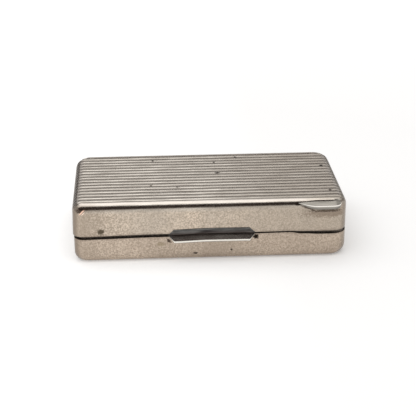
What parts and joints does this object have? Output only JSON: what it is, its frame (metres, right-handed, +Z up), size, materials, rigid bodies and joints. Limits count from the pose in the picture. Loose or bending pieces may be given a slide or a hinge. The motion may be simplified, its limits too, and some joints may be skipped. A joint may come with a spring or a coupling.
{
  "type": "hinged metal box",
  "caption": "Small oblong silver box with a reeded hinged lid, thumb piece, bare leaf-shaped cartouche and rear knuckle hinge.",
  "frame": {"origin": "middle of the flat underside of the box", "axes": "+X along the box to the cartouche end, +Y from the thumb piece to the hinge, +Z up out of the reeded lid"},
  "size_m": [0.08, 0.0447, 0.018],
  "materials": {
    "base_silver": "worn satin silver with fine scratches",
    "reeded_silver": "worn reeded silver, tarnished in the grooves",
    "inner_silver": "tarnished plain silver",
    "lip_silver": "polished silver worn by use",
    "cartouche_silver": "polished plain silver, no engraving",
    "hinge_silver": "satin silver tube",
    "pin_silver": "drawn silver wire"
  },
  "bodies": {
    "base": {"base_pan": "base_silver", "base_bezel": "inner_silver", "base_thumb_lip": "lip_silver", "base_hinge_bearer": "inner_silver", "base_knuckle_1": "hinge_silver", "base_knuckle_2": "hinge_silver", "base_knuckle_3": "hinge_silver", "base_knuckle_4": "hinge_silver", "hinge_pin": "pin_silver", "hinge_plug_left": "pin_silver", "hinge_plug_right": "pin_silver"},
    "lid": {"lid_pan": "reeded_silver", "lid_thumb_lip": "lip_silver", "lid_cartouche": "cartouche_silver", "lid_hinge_bearer": "inner_silver", "lid_knuckle_1": "hinge_silver", "lid_knuckle_2": "hinge_silver", "lid_knuckle_3": "hinge_silver"}
  },
  "joints": [
    {"name": "lid_hinge", "type": "hinge", "parent": "base", "child": "lid", "pos_m": [0, 0.0208, 0.008], "axis": [-1, 0, 0], "range_deg": [0, 95]}
  ]
}
